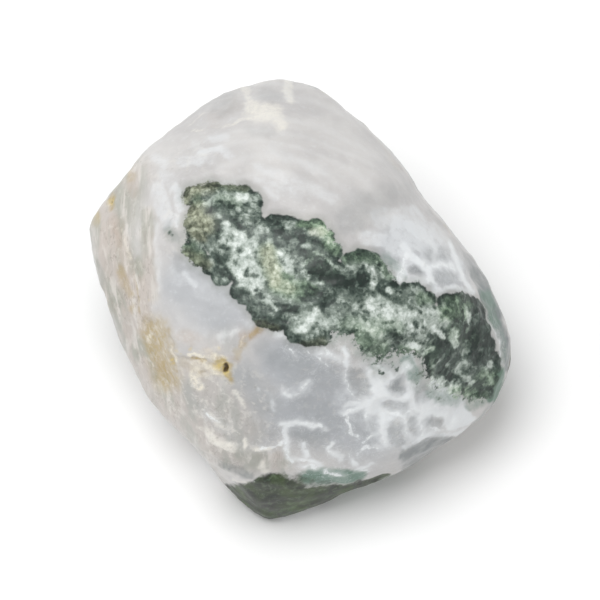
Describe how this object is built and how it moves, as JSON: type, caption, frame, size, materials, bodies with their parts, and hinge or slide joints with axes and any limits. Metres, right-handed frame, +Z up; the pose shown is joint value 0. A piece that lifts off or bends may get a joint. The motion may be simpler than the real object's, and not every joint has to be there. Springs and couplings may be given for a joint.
{
  "type": "rough moss agate stone",
  "caption": "Rough moss agate: a blunt, blocky stone with rubbed edges, shallow shell-shaped chips and a flat to rest on.",
  "frame": {"origin": "on the ground, under the middle of the bounding box; the stone rests on its flat", "axes": "+Z up, +X to the right in the picture, +Y away from the camera, to the back"},
  "size_m": [0.04, 0.0376, 0.0282],
  "materials": {
    "agate": "waxy, rubbed smooth"
  },
  "bodies": {
    "root": {"moss_agate": "agate"}
  },
  "joints": []
}
